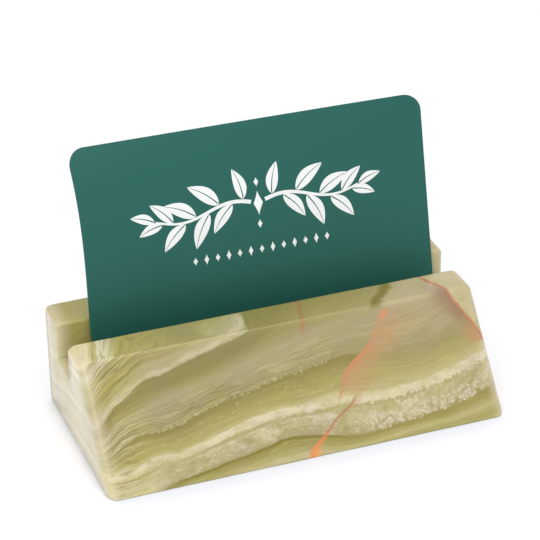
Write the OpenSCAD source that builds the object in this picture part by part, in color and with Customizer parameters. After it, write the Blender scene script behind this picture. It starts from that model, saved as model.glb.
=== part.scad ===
// Desk business-card holder: one block of banded green onyx with a sawn groove,
// a sloping front and a taller back wall, and the card that leans in the groove.
// Millimetres, +Z up. The origin is on the desk, at the centre of the block's footprint.
// +X runs along the groove and +Y runs from the sloping front to the back wall.

/* [Block] */
// Length of the block, along the groove
block_len = 100; // [60:1:160]
// Height of the back wall's top above the desk
wall_h = 26.4; // [20:0.1:45]
// Front-to-back thickness of the back wall
wall_t = 10.5; // [6:0.1:25]
// Height of the lip in front of the groove
lip_h = 25.5; // [19:0.1:40]
// Front-to-back width of the flat land on top of the lip
lip_land = 9.2; // [4:0.1:20]
// How far the front slopes out from the land to the foot
slope_run = 21; // [6:0.1:40]

/* [Groove] */
// Front-to-back width of the groove
groove_w = 8.8; // [6:0.1:20]
// Stone left under the groove
floor_h = 16.5; // [5:0.1:17]
// Radius that the saw leaves in the groove's two bottom corners
groove_r = 0.5; // [0.2:0.1:2]

/* [Polished edges] */
// Radius of the long edges that run with the groove
edge_r = 0.8; // [0.3:0.1:1.5]
// Radius of the sharper long edge at the front's foot
foot_r = 0.3; // [0.1:0.1:0.8]
// Radius of the edges around the two ends of the lip
end_r = 1.6; // [0.5:0.1:2.5]
// Radius of the sharper edges at the two ends of the wall's top
wall_end_r = 0.6; // [0.3:0.1:1.5]
// Radius of the two upright corners at the front, seen from above
corner_r = 3; // [1:0.1:5]
// Radius of the two sharper upright corners at the back
back_corner_r = 0.8; // [0.3:0.1:3]

/* [Card] */
// Width of the card
card_w = 88.9; // [50:0.1:120]
// Height of the card
card_h = 50.8; // [25:0.1:80]
// Thickness of the card
card_t = 0.5; // [0.3:0.1:1.5]
// Radius of the card's corners
card_r = 4.2; // [1:0.1:8]
// How far the card leans back from upright, in degrees
card_lean = 12.3; // [4:0.1:25]
// How far the card stands to the right of the block's middle
card_shift = 2.4; // [-8:0.1:8]
// Gap left between the card and the stone it rests on
card_gap = 0.05; // [0.02:0.01:0.2]

/* [Hidden] */
$fn = 64;
onyx_green = [0.72, 0.71, 0.50];
card_teal = [0.21, 0.41, 0.38];

foot_loss = foot_r / tan(atan(lip_h / slope_run) / 2) - foot_r;
block_d = slope_run - foot_loss + lip_land + groove_w + wall_t;
back_y = block_d / 2;
wall_y = back_y - wall_t;
groove_y = wall_y - groove_w;
land_y = groove_y - lip_land;
foot_y = land_y - slope_run;
past = 2;  // how far a cutter runs past the stone

// The block's section across the groove, counter-clockwise from the front foot
section = [
    [foot_y, 0],
    [back_y, 0],
    [back_y, wall_h],
    [wall_y, wall_h],
    [wall_y, floor_h],
    [groove_y, floor_h],
    [groove_y, lip_h],
    [land_y, lip_h],
];
section_r = [foot_r, edge_r, edge_r, edge_r, groove_r, groove_r, edge_r, edge_r];

// The edges that each end face shares with the wall's top, the land and the sloping front,
// each with its radius
end_edges = [
    [section[2], section[3], wall_end_r],
    [section[6], section[7], end_r],
    [section[7], section[0], end_r],
];

// The card's back face touches the rounded top edge of the back wall
edge_y = wall_y + edge_r;
edge_z = wall_h - edge_r;
card_z = floor_h + card_gap;
card_y = edge_y - (edge_r + card_gap + (edge_z - card_z) * sin(card_lean)) / cos(card_lean);

function towards(from, to) = (to - from) / norm(to - from);
function turn(a, b) = a[0] * b[1] - a[1] * b[0];
function before(points, i) = towards(points[i], points[(i + len(points) - 1) % len(points)]);
function after(points, i) = towards(points[i], points[(i + 1) % len(points)]);
function half_angle(points, i) = acos(before(points, i) * after(points, i)) / 2;
function bulges(points, i) = turn(after(points, i), before(points, i)) > 0;
function arc_centre(points, i, r) =
    let (middle = before(points, i) + after(points, i))
    points[i] + middle / norm(middle) * r / sin(half_angle(points, i));

// A counter-clockwise outline with every corner rounded to its own radius by a true arc
module rounded_outline(points, radii) {
    difference() {
        union() {
            polygon([for (i = [0 : len(points) - 1])
                let (reach = radii[i] / tan(half_angle(points, i)))
                each [points[i] + before(points, i) * reach, points[i] + after(points, i) * reach]]);
            for (i = [0 : len(points) - 1])
                if (bulges(points, i))
                    translate(arc_centre(points, i, radii[i])) circle(r = radii[i]);
        }
        for (i = [0 : len(points) - 1])
            if (!bulges(points, i))
                translate(arc_centre(points, i, radii[i])) circle(r = radii[i]);
    }
}

module rounded_rectangle(width, depth, near_r, far_r) {
    corners = [[-width, -depth] / 2, [width, -depth] / 2, [width, depth] / 2, [-width, depth] / 2];
    rounded_outline(corners, [near_r, near_r, far_r, far_r]);
}

// What polishing takes off one edge of the right-hand end face, from one section point to the next
module end_edge_waste(from, to, r) {
    run = norm(to - from) + 2 * past;
    translate([block_len / 2, from[0], from[1]])
        rotate([atan2(to[1] - from[1], to[0] - from[0]), 0, 0])
            translate([-r, -past, 0])
                difference() {
                    translate([0, 0, -past]) cube([r + past, run, r + past]);
                    translate([0, -past, r]) rotate([-90, 0, 0]) cylinder(r = r, h = run + 2 * past);
                }
}

module stone_block() {
    color(onyx_green)
        difference() {
            intersection() {
                rotate([90, 0, 90])
                    linear_extrude(block_len, center = true)
                        rounded_outline(section, section_r);
                translate([0, (foot_y + back_y) / 2, -past])
                    linear_extrude(wall_h + 2 * past)
                        rounded_rectangle(block_len, back_y - foot_y, corner_r, back_corner_r);
            }
            for (side = [0, 1], edge = end_edges)
                mirror([side, 0, 0]) end_edge_waste(edge[0], edge[1], edge[2]);
        }
}

module business_card() {
    color(card_teal)
        translate([card_shift, card_y, card_z])
            rotate([90 - card_lean, 0, 0])
                linear_extrude(card_t)
                    translate([0, card_h / 2])
                        rounded_rectangle(card_w, card_h, card_r, card_r);
}

stone_block();
business_card();
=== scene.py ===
import math

import bmesh
import bpy
from mathutils import Matrix, Vector, noise


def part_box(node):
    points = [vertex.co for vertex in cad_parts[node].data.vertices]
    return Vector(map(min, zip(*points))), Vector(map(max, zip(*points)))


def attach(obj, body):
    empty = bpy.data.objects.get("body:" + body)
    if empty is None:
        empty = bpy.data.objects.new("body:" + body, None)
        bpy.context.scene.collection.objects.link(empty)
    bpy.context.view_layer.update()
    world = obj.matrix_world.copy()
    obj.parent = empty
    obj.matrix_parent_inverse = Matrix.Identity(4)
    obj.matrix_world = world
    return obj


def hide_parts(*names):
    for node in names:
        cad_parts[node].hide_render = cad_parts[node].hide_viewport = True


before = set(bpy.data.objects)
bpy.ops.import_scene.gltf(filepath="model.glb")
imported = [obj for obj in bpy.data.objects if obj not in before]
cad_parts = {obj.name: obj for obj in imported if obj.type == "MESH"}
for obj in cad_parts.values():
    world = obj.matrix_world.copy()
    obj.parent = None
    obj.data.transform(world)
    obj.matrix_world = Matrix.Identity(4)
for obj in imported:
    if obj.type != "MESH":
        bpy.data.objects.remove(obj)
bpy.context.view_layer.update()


# ---------------------------------------------------------------------------------------------
# The stone block. One piece of banded green onyx, a soft calcite that polishes like glass.
# It is sawn to section, the groove is run through from end to end, and then the whole block is
# rubbed by hand on wet pads, which rounds its edges a little unevenly.
LIP_HEIGHT = 0.0255
WALL_THICKNESS = 0.0105
GROOVE_WIDTH = 0.0088
GROOVE_FLOOR = 0.0165
LAND_WIDTH = 0.0092
SLOPE_RUN = 0.0210

stone_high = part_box("stone_block")[1]
half_length = stone_high.x
wall_top = stone_high.z
back = stone_high.y
wall_front = back - WALL_THICKNESS
groove_front = wall_front - GROOVE_WIDTH
land_front = groove_front - LAND_WIDTH
foot = land_front - SLOPE_RUN

# Each corner of the section, with the radius it is rubbed to, and how far the side that follows
# it is rubbed away where it meets the end faces
SECTION = [
    ((foot, 0), 0.0003, 0.0007),
    ((back, 0), 0.0008, 0.0007),
    ((back, wall_top), 0.0009, 0.0006),
    ((wall_front, wall_top), 0.0008, 0.0005),
    ((wall_front, GROOVE_FLOOR), 0.0005, 0.0004),
    ((groove_front, GROOVE_FLOOR), 0.0005, 0.0005),
    ((groove_front, LIP_HEIGHT), 0.0007, 0.0015),
    ((land_front, LIP_HEIGHT), 0.0010, 0.0021),
]
END_ROUND = 0.0022  # how far from each end face the rub begins
ARC_STEPS = 7
COLUMN = 0.002  # from one ring of the section to the next
RUB_WANDER = 0.22  # share by which a rubbed radius grows and shrinks along the block
RUB_WAVE = 0.009
RUB_APART = 3.7  # keeps the wander of one corner unlike the next


def line_crossing(point_a, along_a, point_b, along_b):
    """Where two lines in the section meet."""
    turn = along_a.cross(along_b)
    return point_a + along_a * ((point_b - point_a).cross(along_b) / turn)


def section_ring(rubbed, wander):
    """The rounded section as one loop of (y, z) points.

    Each side is drawn in by the share rubbed of its own rub, and wander scales each radius.
    """
    corners = [Vector(place) for place, _, _ in SECTION]
    count = len(corners)
    sides = []
    for i, (_, _, rub) in enumerate(SECTION):
        along = (corners[(i + 1) % count] - corners[i]).normalized()
        inwards = Vector((-along.y, along.x))
        sides.append((corners[i] + inwards * rub * rubbed, along))
    drawn_in = [line_crossing(*sides[i - 1], *sides[i]) for i in range(count)]
    ring = []
    for i, corner in enumerate(drawn_in):
        back_along, on_along = -sides[i - 1][1], sides[i][1]
        half_angle = math.acos(max(-1, min(1, back_along.dot(on_along)))) / 2
        radius = SECTION[i][1] * wander[i]
        middle = corner + (back_along + on_along).normalized() * radius / math.sin(half_angle)
        start = corner + back_along * radius / math.tan(half_angle) - middle
        end = corner + on_along * radius / math.tan(half_angle) - middle
        sweep = start.angle_signed(end)
        for step in range(ARC_STEPS + 1):
            angle = sweep * step / ARC_STEPS
            turned = Matrix.Rotation(-angle, 2) @ start
            ring.append(middle + turned)
    return ring


def block_mesh():
    """Rings of the section strung along the groove, closed by two flat end faces."""
    flat = half_length - END_ROUND
    columns = round(2 * flat / COLUMN)
    stations = [(-flat + 2 * flat * i / columns, 0) for i in range(columns + 1)]
    for step in range(1, ARC_STEPS + 1):
        angle = math.pi / 2 * step / ARC_STEPS
        past_flat = flat + END_ROUND * math.sin(angle)
        rubbed = 1 - math.cos(angle)
        stations.append((past_flat, rubbed))
        stations.insert(0, (-past_flat, rubbed))
    mesh = bmesh.new()
    rings = []
    for x, rubbed in stations:
        wander = [
            1 + RUB_WANDER * noise.noise(Vector((x / RUB_WAVE, RUB_APART * i, 0)))
            for i in range(len(SECTION))
        ]
        rings.append([mesh.verts.new((x, y, z)) for y, z in section_ring(rubbed, wander)])
    for near, far in zip(rings, rings[1:]):
        for i in range(len(near)):
            j = (i + 1) % len(near)
            mesh.faces.new((near[i], far[i], far[j], near[j]))
    for ring in (rings[0], rings[-1]):
        rim = [mesh.edges.get((ring[i - 1], ring[i])) for i in range(len(ring))]
        bmesh.ops.triangle_fill(mesh, edges=rim, use_beauty=True)
    bmesh.ops.recalc_face_normals(mesh, faces=mesh.faces)
    made = bpy.data.meshes.new("stone_block")
    mesh.to_mesh(made)
    mesh.free()
    made.shade_smooth()
    return made


class Wire:
    """One shader socket. Python's operators on it add Math nodes to its tree."""

    def __init__(self, tree, socket=None):
        self.tree, self.socket = tree, socket

    def node(self, kind, settings=None, sockets=None, output=0):
        """Adds one node, with its settings first and then its sockets, and returns one output."""
        made = self.tree.nodes.new("ShaderNode" + kind)
        for name, value in (settings or {}).items():
            if name == "stops":
                ramp = made.color_ramp
                while len(ramp.elements) < len(value):
                    ramp.elements.new(1)
                for element, (place, colour) in zip(ramp.elements, value):
                    element.position, element.color = place, colour
            elif name == "points":
                curve = made.mapping.curves[0]
                while len(curve.points) < len(value):
                    curve.points.new(1, 1)
                for point, place in zip(curve.points, value):
                    point.location = place
                made.mapping.update()
            else:
                setattr(made, name, value)
        for key, value in (sockets or {}).items():
            plug = next(s for s in made.inputs if s.identifier == key)
            if isinstance(value, Wire):
                self.tree.links.new(value.socket, plug)
            else:
                plug.default_value = value
        return Wire(self.tree, made.outputs[output])

    def math(self, operation, first, second=0.0, clamped=False):
        """One Math node."""
        settings = {"operation": operation, "use_clamp": clamped}
        return self.node("Math", settings, {"Value": first, "Value_001": second})

    def __add__(self, other):
        return self.math("ADD", self, other)

    def __sub__(self, other):
        return self.math("SUBTRACT", self, other)

    def __rsub__(self, other):
        return self.math("SUBTRACT", other, self)

    def __mul__(self, other):
        return self.math("MULTIPLY", self, other)

    def __truediv__(self, other):
        return self.math("DIVIDE", self, other)

    def __abs__(self):
        return self.math("ABSOLUTE", self)

    __radd__ = __add__
    __rmul__ = __mul__

    def share(self, low, high):
        """How far this value is from low to high, held between 0 and 1."""
        return self.math("DIVIDE", self - low, high - low, clamped=True)

    def fade(self, none, full):
        """0 at none, 1 at full and eased between them."""
        settings = {"interpolation_type": "SMOOTHSTEP"}
        return self.node("MapRange", settings, {"Value": self, "From Min": none, "From Max": full})

    def cloud(self, scale, detail=3.0, roughness=0.5, distortion=0.0):
        """Noise read at this place, from -1 to 1."""
        sockets = {"Vector": self, "Scale": scale, "Detail": detail, "Roughness": roughness,
                   "Distortion": distortion}
        return self.node("TexNoise", {}, sockets) * 2 - 1

    def ramp(self, stops):
        """A colour looked up by this value."""
        return self.node("ValToRGB", {"stops": stops}, {"Fac": self})

    def over(self, base, top):
        """The colour base, with the colour top where this mask is 1."""
        sockets = {"Factor_Float": self, "A_Color": base, "B_Color": top}
        return self.node("Mix", {"data_type": "RGBA"}, sockets, output=2)

    def scaled(self, factor):
        """This place or colour, times one number."""
        return self.node("VectorMath", {"operation": "SCALE"}, {"Vector": self, "Scale": factor})

    def surface(self):
        """Makes this shader the surface of its material."""
        out = self.tree.nodes.new("ShaderNodeOutputMaterial")
        self.tree.links.new(self.socket, out.inputs["Surface"])


def blank_material(name):
    """A new material, with one node that gives the place on its piece in metres."""
    material = bpy.data.materials.new(name)
    material.use_nodes = True
    material.node_tree.nodes.clear()
    return material, Wire(material.node_tree).node("TexCoord", output=3)


def srgb(red, green, blue):
    """A colour as it is matched, from 0 to 255, as linear light."""
    channels = [c / 255 for c in (red, green, blue)]
    return (*(c / 12.92 if c < 0.04045 else ((c + 0.055) / 1.055) ** 2.4 for c in channels), 1)


def grey(level):
    """A grey in linear light."""
    return (level, level, level, 1)


# The beds of the stone, from the desk up, each as (mm along the block from its middle, height in
# mm). The green foot bed, the frothy white bed, the yellow bed, the fine grey bands and the olive
# lens lie between them. The white seam and the banded crest lie on the lens.
BEDS = {
    "below": [(-50, -4.5), (0, -2), (50, -2)],
    "froth_foot": [(-50, -0.6), (-38, 0.2), (-34, 0.9), (-27, 1.8), (-20, 2.7), (-12, 3.6),
                   (-5, 4.5), (0, 4.3), (6, 3.3), (14, 2.4), (22, 2.9), (32, 3.5), (41, 4.7),
                   (50, 7.0)],
    "froth_top": [(-50, 5.6), (-44, 5.0), (-36, 6.2), (-30, 6.1), (-20, 7.9), (-8, 9.6), (2, 9.8),
                  (9, 10.4), (20, 9.3), (30, 9.6), (40, 11.0), (50, 13.0)],
    "band_foot": [(-50, 8.4), (-44, 9.4), (-40, 10.4), (-32, 10.5), (-24, 12.2), (-14, 13.8),
                  (-4, 15.2), (4, 16.0), (12, 16.9), (20, 16.2), (30, 14.7), (40, 16.0), (50, 17.8)],
    "lens_foot": [(-50, 13.0), (-44, 14.6), (-35, 16.2), (-30, 17.0), (-20, 18.4), (-10, 20.2),
                  (0, 22.2), (8, 23.6), (14, 24.3), (24, 25.4), (50, 30.0)],
    "seam_foot": [(-50, 14.6), (-45, 16.0), (-40, 18.0), (-36, 19.8), (-31, 20.3), (-24, 21.8),
                  (-15, 23.4), (-9, 24.8), (-6, 27), (4, 33), (20, 36), (50, 38)],
}
BED_LOW, BED_SPAN = -5.0, 45.0
BED_LEFT, BED_LENGTH = -50, 100
BED_STACK = 5.0  # mm that each bed counts for in the stack, however thick it is
CREST = 20.0  # mm from the white seam up to the end of the crest

# Each vein is a crack through the whole block, as (height in mm, mm along from the middle)
VEINS = {
    "right": [(0, 56), (14.2, 50), (15.5, 49.2), (17.5, 48.0), (19, 47.1), (22, 45.0), (24.2, 43.6),
              (26, 43.1), (28, 42.4), (30, 40.8), (31.5, 39.6), (34, 37)],
    "middle": [(0, 4), (9.3, 9.4), (11.5, 10.9), (14.6, 12.9), (16, 15.0), (17, 17.2), (18.4, 19.9),
               (20.5, 21.9), (22.5, 24.0), (24, 25.4), (26, 25.9), (31.0, 31.4), (34, 34)],
    "lower": [(0, 0.0), (1.5, 0.6), (2.2, 1.5), (4.2, 5.0), (5.6, 7.0), (7.2, 10.0), (8.4, 12.6),
              (9.5, 13.9), (11, 16.0), (13, 21), (34, 50)],
    "back": [(0, 4.2), (22, 4.8), (25, 5.3), (28.5, 6.2), (31.5, 7.6), (34, 9)],
}
VEIN_TOP = 34.0
VEIN_LEFT, VEIN_LENGTH = -50, 110


def onyx():
    """Banded green onyx: colour follows the beds, with froth, fine bands, haze and rust veins."""
    material, metres = blank_material("green_onyx")
    place = metres.scaled(1000.0)
    split = place.node("SeparateXYZ", {}, {"Vector": place}).socket.node
    x, y, z = (Wire(place.tree, socket) for socket in split.outputs)

    # The beds climb a little under the land and more at the back, and wander deep in the block.
    # The cracks lean more than the beds do, so they are read by level in place of height.
    level = z + y.fade(-6.5, 6.0) * 6.3
    deep = y.fade(4.0, 22.0)
    climb = y.fade(-5.5, 6.2) * 1.3 + deep * 4.0
    roll = place.cloud(0.035, 1.0) * 4.0 * deep
    ruffle = place.cloud(0.22, 2.0) * 0.3 + place.cloud(0.8, 3.0, 0.6) * 0.22
    droop = x.fade(-43.0, -51.0) * z.fade(0.0, 14.0) * 2.4
    height = z * 0.98 + climb + roll + ruffle + droop

    along = (x - BED_LEFT) / BED_LENGTH
    beds = []
    for line in BEDS.values():
        points = [((px - BED_LEFT) / BED_LENGTH, (pz - BED_LOW) / BED_SPAN) for px, pz in line]
        curve = along.node("FloatCurve", {"points": points}, {"Value": along})
        beds.append(curve * BED_SPAN + BED_LOW)

    # In the stack every bed is as thick as the next, and the foot of the froth has ragged teeth
    jitter = place.node("TexNoise", {}, {"Vector": place, "Scale": 0.9, "Detail": 2.0}, output=1)
    jitter = place.node("VectorMath", {"operation": "MULTIPLY_ADD"}, {
        "Vector": jitter, "Vector_001": (1.1, 1.1, 1.1), "Vector_002": place,
    })
    lump = 1 - jitter.node("TexVoronoi", {}, {"Vector": jitter, "Scale": 1.2})
    crumble = place.cloud(0.9, 3.0, 0.65)
    teeth = (crumble * 0.9 + lump * 1.0 - 0.45) * x.fade(9.0, 20.0)
    stack = height.share(beds[0], beds[1]) + (height + teeth).share(beds[1], beds[2])
    for low, high in zip(beds[2:], beds[3:]):
        stack = stack + height.share(low, high)
    stack = stack * BED_STACK + height.share(beds[-1], beds[-1] + CREST) * CREST
    top = BED_STACK * (len(beds) - 1) + CREST

    def bands(*stops):
        """Colour by place in the stack of beds."""
        return (stack / top).ramp([(mm / top, srgb(*colour)) for mm, colour in stops])

    left = bands(
        (2, (190, 181, 128)), (5, (208, 198, 150)), (6.5, (214, 205, 160)), (8.2, (196, 186, 130)),
        (9.4, (213, 204, 160)), (10.4, (186, 176, 112)), (12.5, (172, 162, 92)), (14.6, (158, 148, 80)),
        (15.2, (172, 162, 108)), (17, (178, 168, 118)), (18.6, (184, 174, 128)), (20, (164, 154, 88)),
        (22.5, (150, 141, 76)), (24.8, (148, 139, 78)), (25.1, (203, 195, 156)), (25.7, (208, 200, 164)),
        (26.6, (180, 171, 112)), (28.6, (164, 155, 84)), (32.4, (182, 173, 112)), (33.4, (212, 204, 172)),
        (34.3, (220, 212, 186)), (35.1, (184, 177, 108)), (36.2, (214, 206, 160)), (38, (196, 188, 126)),
        (42, (174, 165, 92)),
    )
    middle = bands(
        (1.2, (188, 179, 120)), (2.3, (202, 193, 142)), (3.4, (176, 167, 102)), (4.6, (156, 147, 72)),
        (4.95, (142, 132, 56)), (5.15, (176, 166, 118)), (6.5, (190, 180, 138)), (8.0, (194, 184, 142)),
        (8.8, (206, 197, 156)), (9.5, (217, 208, 172)), (10.2, (200, 191, 138)), (11.0, (180, 170, 104)),
        (12.6, (172, 162, 94)), (14.2, (152, 142, 78)), (14.95, (146, 136, 72)), (15.3, (166, 156, 106)),
        (17.4, (174, 164, 122)), (19.2, (176, 166, 124)), (20.6, (160, 151, 96)), (22.0, (146, 138, 82)),
        (24.9, (143, 136, 80)), (25.15, (194, 187, 152)), (25.7, (204, 197, 164)), (26.7, (182, 174, 130)),
        (28.4, (170, 161, 104)), (32, (168, 158, 98)), (40, (172, 162, 100)),
    )
    right = bands(
        (1.0, (186, 178, 112)), (2.2, (176, 167, 100)), (3.0, (196, 187, 130)), (4.0, (170, 160, 90)),
        (4.9, (156, 146, 76)), (5.3, (184, 174, 124)), (6.8, (204, 194, 152)), (7.8, (188, 178, 122)),
        (8.6, (212, 203, 164)), (9.5, (214, 205, 166)), (10.4, (200, 190, 140)), (12.0, (184, 173, 112)),
        (14.4, (174, 162, 104)), (15.2, (168, 156, 106)), (16.2, (182, 168, 128)), (18.0, (178, 162, 122)),
        (19.4, (184, 171, 130)), (21.5, (190, 178, 142)), (24.0, (198, 187, 154)), (26, (190, 180, 136)),
    )

    def vein(name, wobble):
        """How far to the right of a crack this place is, in mm."""
        points = [(pz / VEIN_TOP, (px - VEIN_LEFT) / VEIN_LENGTH) for pz, px in VEINS[name]]
        share = level / VEIN_TOP
        curve = share.node("FloatCurve", {"points": points}, {"Value": share})
        return x - (curve * VEIN_LENGTH + VEIN_LEFT) - wobble

    wobble = place.cloud(0.5, 3.0, 0.6) + place.cloud(2.2, 3.0, 0.7) * 0.35
    right_vein = vein("right", wobble * 0.45)
    middle_vein = vein("middle", wobble * 0.8)
    lower_vein = vein("lower", wobble * 0.4)
    back_vein = vein("back", wobble * 0.5)

    across_left = (x + place.cloud(0.12, 2.0) * 3).fade(-44.0, -32.0)
    cut_across = middle_vein.fade(-0.4, 1.6)
    far_right = (x + wobble * 3).fade(4.0, 20.0)
    upper = level.fade(9.0, 13.0)
    on_right = cut_across * upper + far_right * (1 - upper)
    colour = on_right.over(across_left.over(left, middle), right)

    # Fine bands lie along the beds, so they are noise drawn out along the block
    drawn = x.node("CombineXYZ", {}, {"X": x * 0.04, "Y": y * 0.04, "Z": stack})
    wide_bands = drawn.cloud(0.7, 2.0, 0.6)
    fine_bands = drawn.cloud(2.2, 3.0, 0.75)
    laminated = stack.fade(14.8, 15.6) * stack.fade(19.5, 17.0) * (x.fade(2.0, -14.0) * 0.8 + 0.2)
    on_slope = y.fade(-3.4, -4.6) * 0.8 + 0.2
    crested = stack.fade(27.0, 28.4) * x.fade(-28.0, -37.0) * stack.fade(41.0, 37.0) * on_slope
    edging = x.fade(-36.0, -43.0) * stack.fade(3.0, 6.0) * on_slope
    calm = stack.fade(17.0, 19.5) * stack.fade(25.3, 24.9) * x.fade(-42.0, -36.0)
    lined = laminated * 0.8 + crested * 1.3 + edging * 0.6 - on_right * 0.08 - calm * 0.24 + 0.36
    lined = lined * (1 - x.fade(-46.5, -49.0) * 0.6)
    # Painted light: the land's colour is lightened, standing in for the light that the card keeps off it
    land_painted_light = y.fade(-5.0, -3.4) * y.fade(6.2, 5.2) * 0.22
    tone = wide_bands * 0.2 * lined + fine_bands * 0.42 * lined + land_painted_light + 1.0
    colour = colour.scaled(tone)
    dark_line = abs(drawn.cloud(1.7, 1.0)).fade(0.10, 0.0)
    colour = (dark_line * lined * 0.6).over(colour, srgb(140, 130, 66))
    fine_line = abs(drawn.cloud(4.2, 1.0)).fade(0.1, 0.0)
    colour = (fine_line * crested * 0.55).over(colour, srgb(152, 143, 84))
    pale_line = abs(drawn.cloud(1.2, 2.0) + 0.15).fade(0.09, 0.0)
    colour = (pale_line * (lined - crested * 0.7) * 0.5).over(colour, srgb(216, 208, 164))

    # The frothy bed is full of small crystals, in ragged teeth along its foot on the right
    streak_place = x.node("CombineXYZ", {}, {"X": x * 0.38, "Y": y * 0.38, "Z": stack})
    streak = streak_place.cloud(0.7, 3.0, 0.6)
    ragged = streak_place.cloud(0.35, 2.0, 0.5)
    frothy = stack.fade(5.0, 5.4) * stack.fade(10.2, 9.4) * x.fade(-44.0, -30.0)
    white = frothy * (streak * 0.7 + ragged * 0.6).fade(-0.02, 0.34)
    colour = (white * 0.75).over(colour, srgb(222, 214, 182))
    crust = stack.fade(8.6, 9.2) * (stack + streak * 0.8).fade(10.5, 9.9)
    crust = crust * (streak + ragged).fade(-0.4, 0.2)
    colour = (crust * 0.8).over(colour, srgb(228, 220, 190))
    gaps = frothy * (streak * 0.7 + ragged * 0.6).fade(-0.06, -0.38) * stack.fade(9.4, 7.8)
    colour = (gaps * 0.65).over(colour, srgb(170, 161, 104))
    grain = frothy * streak_place.cloud(2.6, 3.0, 0.7)
    colour = (grain * 0.9).over(colour, srgb(226, 219, 192))
    colour = (grain * -0.9).over(colour, srgb(156, 147, 88))
    parting = abs(stack + streak * 0.5 - 8.5).fade(0.4, 0.1) * frothy * ragged.fade(-0.5, 0.1)
    colour = (parting * 0.7).over(colour, srgb(168, 160, 100))
    under = stack.fade(4.5, 4.85) * stack.fade(5.15, 4.95) * x.fade(-36.0, -26.0) * x.fade(14.0, 2.0)
    colour = (under * 0.7).over(colour, srgb(132, 122, 44))
    teeth_band = stack.fade(4.9, 5.4) * stack.fade(8.0, 6.4) * x.fade(12.0, 20.0) * x.fade(49.0, 43.0)
    crystal = (lump * 0.8 + crumble * 0.75).share(0.12, 0.7)
    colour = (teeth_band * crystal * 0.85).over(colour, srgb(222, 214, 188))
    colour = (teeth_band * (1 - crystal) * 0.45).over(colour, srgb(162, 152, 88))

    # The white seam is broken by darker stone
    seam_gaps = stack.fade(24.9, 25.2) * stack.fade(27.4, 26.2)
    seam_gaps = seam_gaps * (streak + ragged * 0.6).fade(-0.25, 0.3)
    colour = (seam_gaps * on_slope * 0.65).over(colour, srgb(178, 170, 116))

    # Dashes of white crystal stand along the foot of the fine bands, over short pale threads
    dash_place = x.node("CombineXYZ", {}, {"X": x * 0.7, "Y": y * 0.7, "Z": stack * 0.5})
    dashes = dash_place.cloud(2.1, 2.0, 0.6).fade(0.02, 0.24)
    dash_line = stack.fade(14.6, 15.0) * stack.fade(15.8, 15.3) * x.fade(16.0, 10.0)
    colour = (dashes * dash_line * 0.5).over(colour, srgb(210, 202, 158))
    threads = abs(drawn.cloud(3.0, 1.0)).fade(0.07, 0.0)
    threads = threads * stack.fade(10.6, 11.4) * stack.fade(14.6, 13.4)
    colour = (threads * dashes * 0.6 * (1 - on_right)).over(colour, srgb(216, 208, 164))

    # On the land the stone is dull, but for a clear oval left of the middle
    oval_x, oval_y = (x + 13.5) / 7.0, (y - 1.3) / 5.9
    oval = 1 - oval_x * oval_x - oval_y * oval_y + streak * 0.3
    dull = y.fade(-4.6, -3.4) * x.fade(-32.0, -24.0) * stack.fade(24.8, 25.2) * oval.fade(0.45, -0.1)
    colour = (dull * 0.85).over(colour, srgb(174, 166, 112))

    # Inside the back wall the crest runs out into plain yellow stone
    plain = y.fade(7.0, 13.0) * stack.fade(24.0, 30.0)
    colour = (plain * 0.8).over(colour, srgb(180, 170, 100))

    # Painted light: the colour is made paler at the block's two ends, where light comes through the stone
    edge = x.fade(-45.5, -49.5) + x.fade(46.5, 50.0)
    colour = (edge * (ragged * 0.3 + 0.5)).over(colour, srgb(236, 226, 202))

    # A thread of moss on the land, the pale stone to its right, and the streaked right end
    moss = abs(middle_vein + 1.6).fade(2.2, 0.6) * level.fade(24.6, 26.2)
    colour = (moss * 0.8).over(colour, srgb(138, 129, 58))

    clear = abs(middle_vein - 8.0).fade(8.0, 3.0) * level.fade(24.0, 27.0) * (ragged * 0.6 + 0.6)
    colour = (clear * 0.7).over(colour, srgb(208, 199, 164))
    outer = right_vein.fade(0.0, 1.0) * level.fade(15.0, 19.0)
    streaked_end = (streak * 0.5 + 0.5).over(srgb(196, 186, 126), srgb(226, 216, 178))
    colour = (outer * 0.6).over(colour, streaked_end)

    # Rust has crept along the cracks, and out into the stone on one side of each
    creep = place.cloud(0.3, 3.0, 0.6) * 0.5 + 0.5
    streaked = (creep + streak * 0.8).share(0.05, 0.85)
    stain = middle_vein.fade(-0.5, 0.4) * middle_vein.fade(13.0, 1.5) * level.fade(8.5, 12.5)
    stain = stain * level.fade(25.5, 19.5) * (streaked * 0.5 + 0.45)
    colour = stain.over(colour, srgb(199, 155, 109))
    wide = level.fade(19.0, 17.0) * level.fade(13.0, 15.0) * 3.0 + 1.0
    core = middle_vein.fade(-0.4, 0.1) * ((middle_vein + streak * 1.3) / wide).fade(1.1, 0.0)
    core = core * level.fade(8.8, 10.5) * level.fade(25.5, 22.0) * (streaked * 0.7 + 0.25)
    core = core * (level.fade(21.5, 17.0) * 0.5 + 0.5)
    colour = core.over(colour, srgb(211, 141, 98))
    knot = abs(middle_vein - 0.6).fade(1.8, 0.2) * abs(level - 23.6).fade(1.6, 0.2)
    colour = (knot * 0.8).over(colour, srgb(218, 150, 104))
    thread = abs(lower_vein).fade(0.85, 0.15) * level.fade(10.5, 8.4) * (streak * 0.3 + 0.8)
    thread_colour = (level / 9.0).ramp([(0.3, srgb(222, 132, 80)), (0.9, srgb(160, 104, 74))])
    colour = (thread * 0.9).over(colour, thread_colour)
    warm = lower_vein.fade(-0.6, 0.0) * lower_vein.fade(3.0, 0.3)
    warm = warm * level.fade(12.5, 9.5) * level.fade(4.5, 8.5)
    colour = (warm * streaked * 0.6).over(colour, srgb(206, 152, 108))
    glow = abs(lower_vein - 0.3).fade(1.5, 0.2) * level.fade(5.0, 2.0)
    colour = glow.over(colour, srgb(232, 148, 84))
    ember = abs(lower_vein - 0.9).fade(2.2, 0.2) * level.fade(2.4, 0.8)
    colour = (ember * 0.8).over(colour, srgb(240, 168, 92))
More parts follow.
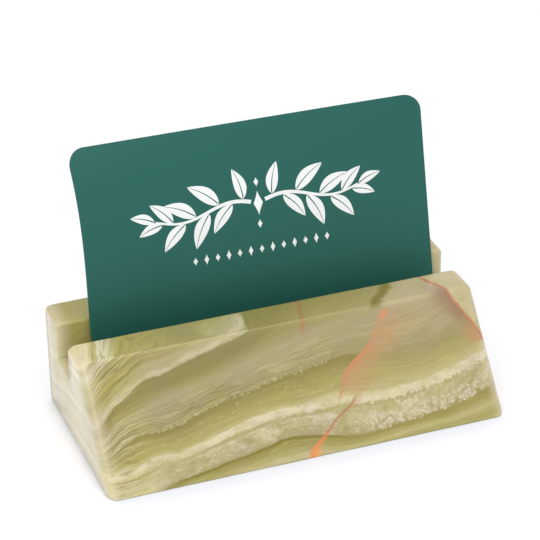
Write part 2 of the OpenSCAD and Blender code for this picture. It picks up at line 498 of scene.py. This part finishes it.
    rust = abs(right_vein).fade(0.8, 0.2) * level.fade(13.5, 15.0) * (creep * 0.6 + 0.5)
    colour = rust.over(colour, srgb(208, 124, 88))
    shade = right_vein.fade(0.3, -0.4) * right_vein.fade(-6.0, -1.0) * level.fade(17.0, 21.0)
    shade = shade * level.fade(31.0, 25.0) * (creep * 0.6 + 0.5)
    colour = shade.over(colour, srgb(158, 126, 98))
    fan = right_vein.fade(0.3, -0.3) * right_vein.fade(-6.0, -1.0) * level.fade(14.4, 15.6)
    fan = fan * level.fade(19.5, 17.0) * (streaked * 0.6 + 0.4)
    colour = fan.over(colour, srgb(198, 146, 108))
    faint = abs(back_vein).fade(0.9, 0.2) * level.fade(21.5, 24.5) * (creep * 0.5 + 0.5)
    colour = (faint * 0.8).over(colour, srgb(186, 128, 90))

    # The whole stone drifts between a yellower and a pinker green
    drift = place.cloud(0.14, 3.0, 0.6) * 1.3 + 0.5
    tint = drift.over((0.935, 0.945, 0.79, 1), (0.955, 0.915, 0.95, 1))
    tinting = {"Vector": colour, "Vector_001": tint}
    colour = place.node("VectorMath", {"operation": "MULTIPLY"}, tinting)

    # The polish leaves a faint unevenness, most of it in the froth and along the cracks
    pits = (lump * 0.5 + crumble * 0.3) * (teeth_band + frothy * 0.4)
    pits = pits + (core + rust + thread) * crumble * 0.5
    relief = place.cloud(0.16, 2.0) * 1.2 + fine_bands * lined * 0.5 + pits
    polish = place.node("Bump", {}, {"Strength": 0.35, "Distance": 0.00003, "Height": relief})
    place.node("BsdfPrincipled", {}, {
        "Base Color": colour, "Roughness": lined * 0.05 + frothy * 0.08 + 0.14, "IOR": 1.5,
        "Subsurface Weight": 0.12, "Subsurface Radius": (1.0, 0.9, 0.5), "Subsurface Scale": 0.002,
        "Coat Weight": 0.15, "Coat Roughness": 0.2, "Normal": polish,
    }).surface()
    return material


def place_piece(name, mesh, material, body, node=None):
    """Puts a finished mesh in the scene, on its body and in its slot, in place of its CAD node."""
    piece = bpy.data.objects.new(name, mesh)
    bpy.context.scene.collection.objects.link(piece)
    mesh.materials.append(material)
    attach(piece, body)
    if node:
        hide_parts(node)


place_piece("onyx_block", block_mesh(), onyx(), "holder", "stone_block")


# ---------------------------------------------------------------------------------------------
# The business card. A stiff laminated card, cut with round corners, that stands on the groove's
# floor and leans on the back wall. It has taken a set that dies out towards its right edge: on
# the left it bellies forward half way up and curls back at the top.
CARD_HEIGHT = 0.0508
CARD_THICKNESS = 0.0005
CARD_CORNER = 0.0042
LEAN = math.radians(12.3)
CURL = 219.0  # 1/m2, at the left edge
CURL_ZEROS = (0.0061, 0.0374)  # heights up the card where the curl leaves it flat
CURL_FADE = 0.8  # power by which the curl dies out to the right
TWIST = 0.0033  # how far the top left corner is turned forward
CARD_COLUMNS = 60
CORNER_ROWS = 10
EVEN_ROWS = 40

card_low, card_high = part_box("business_card")
card_width = card_high.x - card_low.x
card_middle = (card_low.x + card_high.x) / 2
card_foot = card_low.y + CARD_THICKNESS * math.cos(LEAN)
card_base = card_low.z


def on_card(across, up, proud=0.0):
    """A point on the card's front, from its middle and its lower edge, standing proud by so much."""
    left = (card_width / 2 - across) / card_width
    curl = CURL * max(left, 0) ** CURL_FADE
    belly = curl * up * (up - CURL_ZEROS[0]) * (up - CURL_ZEROS[1])
    behind = belly - TWIST * left * up / CARD_HEIGHT - CARD_THICKNESS - proud
    return Vector((
        card_middle + across,
        card_foot + up * math.sin(LEAN) + behind * math.cos(LEAN),
        card_base + up * math.cos(LEAN) - behind * math.sin(LEAN),
    ))


def card_rows():
    """Heights up the card, close together round its corners and even between them."""
    quarter = math.pi / 2
    arc = [CARD_CORNER * (1 - math.cos(quarter * i / CORNER_ROWS)) for i in range(CORNER_ROWS + 1)]
    straight = CARD_HEIGHT - 2 * CARD_CORNER
    between = [CARD_CORNER + straight * i / EVEN_ROWS for i in range(1, EVEN_ROWS)]
    return arc + between + [CARD_HEIGHT - a for a in reversed(arc)]


def card_mesh():
    """The card's two faces and its cut edge, as one closed sheet."""
    mesh = bmesh.new()
    rims = []
    for proud in (0.0, -CARD_THICKNESS):
        rows = []
        for up in card_rows():
            near_edge = min(up, CARD_HEIGHT - up, CARD_CORNER)
            cut = CARD_CORNER - math.sqrt(CARD_CORNER ** 2 - (CARD_CORNER - near_edge) ** 2)
            half = card_width / 2 - cut
            rows.append([
                mesh.verts.new(on_card(half * (2 * i / CARD_COLUMNS - 1), up, proud))
                for i in range(CARD_COLUMNS + 1)
            ])
        for low, high in zip(rows, rows[1:]):
            for i in range(CARD_COLUMNS):
                mesh.faces.new((low[i], low[i + 1], high[i + 1], high[i]))
        rim = rows[0] + [row[-1] for row in rows[1:-1]] + rows[-1][::-1]
        rim += [row[0] for row in rows[-2:0:-1]]
        rims.append(rim)
    front, rear = rims
    for i in range(len(front)):
        j = (i + 1) % len(front)
        mesh.faces.new((front[i], front[j], rear[j], rear[i]))
    bmesh.ops.recalc_face_normals(mesh, faces=mesh.faces)
    made = bpy.data.meshes.new("business_card")
    mesh.to_mesh(made)
    mesh.free()
    made.shade_smooth()
    made.set_sharp_from_angle(angle=math.radians(40))
    return made


def card_stock():
    """Teal card under a matt film: an even ink with a faint fibre in it."""
    material, metres = blank_material("teal_card")
    fibre = metres.cloud(2500.0, 3.0, 0.7)
    patch = metres.cloud(60.0, 2.0)
    ink = (fibre * 0.25 + patch * 0.2 + 0.5).over(srgb(37, 97, 87), srgb(43, 103, 94))
    metres.node("BsdfPrincipled", {}, {
        "Base Color": ink, "Roughness": fibre * 0.05 + 0.5, "Specular IOR Level": 0.2,
    }).surface()
    return material


place_piece("card_sheet", card_mesh(), card_stock(), "card", "business_card")


# ---------------------------------------------------------------------------------------------
# The print on the card. A thick white ink is screened on the front: two leafy sprigs that grow
# out from a diamond, over a row of small diamonds. It lies a hair proud of the card.
SPRIG_HEIGHT = 0.0312
SPRIG_WAVE = 0.0014
SPRIG_LENGTH = 0.0262
STEM_HALF = 0.00042
STEM_START, STEM_REST = 0.07, 0.93  # shares of the sprig's length before and along the stem
STEM_THICK, STEM_TAPER = 1.15, 0.6  # times STEM_HALF at the start, and lost by the tip
STEM_STEPS = 48
INK_PROUD = 0.00004
INK_SUNK = 0.00002
LEAF_VEIN = 0.00016
LEAF_CLEAR = 1.6  # times STEM_HALF from the stem's middle to a leaf's root
LEAF_BOW = 0.06  # how far a leaf bows, as a share of its length
LEAF_STEPS = 16
# Each leaf grows so far along the stem, and has a length, a half width and an angle off the stem
LEAVES = [
    (0.0035, 0.0078, 0.00155, 62), (0.0062, 0.0082, 0.00160, -52), (0.0094, 0.0092, 0.00175, 48),
    (0.0124, 0.0090, 0.00175, -46), (0.0154, 0.0088, 0.00170, 42), (0.0184, 0.0082, 0.00160, -40),
    (0.0214, 0.0074, 0.00145, 36), (0.0240, 0.0062, 0.00125, -34), (0.0258, 0.0062, 0.00120, 0),
]
# Each diamond has a half width and a half height
DIAMOND = (0.0012, 0.0030)
SMALL_DIAMOND = (0.0006, 0.0011)
SMALL_RISE = 0.0052  # from the diamond's middle to each small one
DIAMOND_STEPS = 8
ROW_DIAMONDS = ((0.0006, 0.0010), (0.0006, 0.0013))
ROW_HEIGHT = 0.0196
ROW_COUNT = 13
ROW_PITCH = 0.00285


def stem_point(along):
    """Where the stem runs, outwards from the middle of the card."""
    return Vector((along, SPRIG_HEIGHT + SPRIG_WAVE * math.sin(along / SPRIG_LENGTH * 2 * math.pi)))


def stem_heading(along):
    """The angle that the stem runs at, in radians."""
    near = 0.0002
    ahead = stem_point(along + near) - stem_point(along - near)
    return math.atan2(ahead.y, ahead.x)


def leaf_halves(root, heading, length, half_width):
    """The two halves of a pointed leaf, each between its middle vein and its edge."""
    on = Vector((math.cos(heading), math.sin(heading)))
    off = Vector((-on.y, on.x))
    for side in (1, -1):
        inner, outer = [], []
        for i in range(LEAF_STEPS + 1):
            t = i / LEAF_STEPS
            swell = (math.sin(math.pi * t ** 0.8)) ** 0.85 if 0 < t < 1 else 0
            bow = off * LEAF_BOW * length * math.sin(math.pi * t)
            middle = root + on * length * t + bow
            vein = min(LEAF_VEIN, half_width * swell * 0.4) * (1 - 0.7 * t)
            inner.append(middle + off * side * vein)
            outer.append(middle + off * side * max(half_width * swell, vein))
        yield inner, outer


def diamond_halves(middle, half_width, half_height):
    """The two halves of an upright diamond with sides that curve in."""
    for side in (1, -1):
        inner, outer = [], []
        for i in range(DIAMOND_STEPS + 1):
            t = 2 * i / DIAMOND_STEPS - 1
            place = middle + Vector((0, half_height * t))
            inner.append(place)
            outer.append(place + Vector((side * half_width * (1 - abs(t)) ** 1.25, 0)))
        yield inner, outer


def ink_shell(mesh, inner, outer):
    """Closes one strip of ink between two edges, from just inside the card to just proud of it."""
    levels = []
    for proud in (INK_PROUD, -INK_SUNK):
        levels.append([
            [mesh.verts.new(on_card(p.x, p.y, proud)) for p in edge] for edge in (inner, outer)
        ])
    (top_in, top_out), (low_in, low_out) = levels
    for i in range(len(inner) - 1):
        mesh.faces.new((top_in[i], top_in[i + 1], top_out[i + 1], top_out[i]))
        mesh.faces.new((low_in[i], low_out[i], low_out[i + 1], low_in[i + 1]))
        mesh.faces.new((top_in[i], low_in[i], low_in[i + 1], top_in[i + 1]))
        mesh.faces.new((top_out[i], top_out[i + 1], low_out[i + 1], low_out[i]))
    for i in (0, -1):
        mesh.faces.new((top_in[i], top_out[i], low_out[i], low_in[i]))


def mirrored(edge):
    """The same edge on the other side of the card's middle."""
    return [Vector((-p.x, p.y)) for p in edge]


def print_mesh():
    """The right-hand sprig, its mirror image, and the diamonds, each as a closed shell of ink."""
    mesh = bmesh.new()
    inner, outer = [], []
    for i in range(STEM_STEPS + 1):
        along = SPRIG_LENGTH * (STEM_START + STEM_REST * i / STEM_STEPS)
        heading = stem_heading(along)
        taper = STEM_THICK - STEM_TAPER * i / STEM_STEPS
        off = Vector((-math.sin(heading), math.cos(heading))) * STEM_HALF * taper
        inner.append(stem_point(along) - off)
        outer.append(stem_point(along) + off)
    strips = [(inner, outer)]
    for along, length, half_width, angle in LEAVES:
        heading = stem_heading(along) + math.radians(angle)
        clear = Vector((math.cos(heading), math.sin(heading))) * STEM_HALF * LEAF_CLEAR
        strips.extend(leaf_halves(stem_point(along) + clear, heading, length, half_width))
    strips.extend([(mirrored(inner), mirrored(outer)) for inner, outer in strips])
    strips.extend(diamond_halves(Vector((0, SPRIG_HEIGHT)), *DIAMOND))
    for rise in (SMALL_RISE, -SMALL_RISE):
        strips.extend(diamond_halves(Vector((0, SPRIG_HEIGHT + rise)), *SMALL_DIAMOND))
    for i in range(ROW_COUNT):
        across = (i - (ROW_COUNT - 1) / 2) * ROW_PITCH
        strips.extend(diamond_halves(Vector((across, ROW_HEIGHT)), *ROW_DIAMONDS[i % 2]))
    for inner, outer in strips:
        ink_shell(mesh, inner, outer)
    same_place = 1e-7
    bmesh.ops.remove_doubles(mesh, verts=mesh.verts, dist=same_place)
    bmesh.ops.dissolve_degenerate(mesh, edges=mesh.edges, dist=same_place)
    bmesh.ops.recalc_face_normals(mesh, faces=mesh.faces)
    made = bpy.data.meshes.new("card_print")
    mesh.to_mesh(made)
    mesh.free()
    return made


def white_ink():
    """Opaque white ink, a little uneven where the screen has left it thin."""
    material, metres = blank_material("white_ink")
    thin = metres.cloud(900.0, 3.0, 0.6)
    white = (thin * 0.5 + 0.5).over(srgb(238, 241, 240), srgb(250, 251, 250))
    metres.node("BsdfPrincipled", {}, {
        "Base Color": white, "Roughness": thin * 0.06 + 0.45, "Specular IOR Level": 0.3,
    }).surface()
    return material


place_piece("card_print", print_mesh(), white_ink(), "card")


# ---------------------------------------------------------------------------------------------
# The desk and the light. A white desk under a wide white tent, with one soft lamp high on the
# left and one overhead, and a long lens above and to the left of the holder. The desk's colour
# and glow carry a painted contact shade: darker close to the stone, and more widely in front of it.
FLOOR_HALF = 3.0
CLOSE_SHADE, WIDE_SHADE = 0.004, 0.014
DESK_GLOW = 0.26
TENT_LIGHT = 0.72

floor_mesh = bpy.data.meshes.new("desk")
floor_corners = [(-FLOOR_HALF, -FLOOR_HALF, 0), (FLOOR_HALF, -FLOOR_HALF, 0),
                 (FLOOR_HALF, FLOOR_HALF, 0), (-FLOOR_HALF, FLOOR_HALF, 0)]
floor_mesh.from_pydata(floor_corners, [], [(0, 1, 2, 3)])
floor = bpy.data.objects.new("desk", floor_mesh)
bpy.context.scene.collection.objects.link(floor)

desk_white, desk_place = blank_material("desk_white")
desk_depth = desk_place.node("SeparateXYZ", {}, {"Vector": desk_place}, output=1)
# Painted contact shade: ambient occlusion darkens the desk's colour and glow close to the stone, and a
# mask by place darkens them more widely in front of it
close = desk_place.node("AmbientOcclusion", {"samples": 8}, {"Distance": CLOSE_SHADE}, output=1)
wide = desk_place.node("AmbientOcclusion", {"samples": 16}, {"Distance": WIDE_SHADE}, output=1)
front_shade = wide.share(1.0, 0.8) * desk_depth.fade(-0.0235, -0.0255)
open_desk = close.fade(0.1, 0.9) * (1 - front_shade * 0.45)
shaded_paint = open_desk.over(srgb(178, 183, 192), srgb(232, 232, 238))
glow = open_desk.over(grey(0.6), grey(1))
desk_place.node("BsdfPrincipled", {}, {
    "Base Color": shaded_paint, "Roughness": 0.8, "Specular IOR Level": 0.2,
    "Emission Color": glow, "Emission Strength": DESK_GLOW,
}).surface()
floor_mesh.materials.append(desk_white)

world = bpy.data.worlds.new("tent")
world.use_nodes = True
world.node_tree.nodes["Background"].inputs["Color"].default_value = (1, 1, 1, 1)
world.node_tree.nodes["Background"].inputs["Strength"].default_value = TENT_LIGHT
bpy.context.scene.world = world
bpy.context.scene.view_settings.view_transform = "Standard"


LAMP_SIZE = 0.6
LAMP_AIM = Vector((0, 0, 0.02))


def soft_lamp(name, place, watts):
    """A round soft lamp that hangs at a place and faces the holder."""
    lamp = bpy.data.lights.new(name, "AREA")
    lamp.shape, lamp.size, lamp.energy = "DISK", LAMP_SIZE, watts
    lamp_object = bpy.data.objects.new(name, lamp)
    lamp_object.location = place
    lamp_object.rotation_euler = (Vector(place) - LAMP_AIM).to_track_quat("Z", "Y").to_euler()
    bpy.context.scene.collection.objects.link(lamp_object)


soft_lamp("lamp_left", (-0.5, -0.35, 0.6), 1.3)
soft_lamp("lamp_over", (0.0, -0.15, 0.8), 1.6)

VIEW_TURN, VIEW_DOWN, VIEW_ROLL = (math.radians(a) for a in (20.09, 28.75, -1.0))
VIEW_DISTANCE = 0.5641
VIEW_AIM = Vector((-0.00093, 0.00008, 0.03817))
SENSOR = 36.0
LENS = 159.33

ahead = Vector((
    math.sin(VIEW_TURN) * math.cos(VIEW_DOWN),
    math.cos(VIEW_TURN) * math.cos(VIEW_DOWN),
    -math.sin(VIEW_DOWN),
))
right = Vector((math.cos(VIEW_TURN), -math.sin(VIEW_TURN), 0))
up = right.cross(ahead)
rolled_right = right * math.cos(VIEW_ROLL) + up * math.sin(VIEW_ROLL)
rolled_up = up * math.cos(VIEW_ROLL) - right * math.sin(VIEW_ROLL)
camera_data = bpy.data.cameras.new("camera")
camera_data.sensor_width = SENSOR
camera_data.lens = LENS
camera_data.clip_start, camera_data.clip_end = 0.01, 20
camera = bpy.data.objects.new("camera", camera_data)
turned = Matrix((rolled_right, rolled_up, -ahead)).transposed().to_4x4()
camera.matrix_world = Matrix.Translation(VIEW_AIM - ahead * VIEW_DISTANCE) @ turned
bpy.context.scene.collection.objects.link(camera)
bpy.context.scene.camera = camera
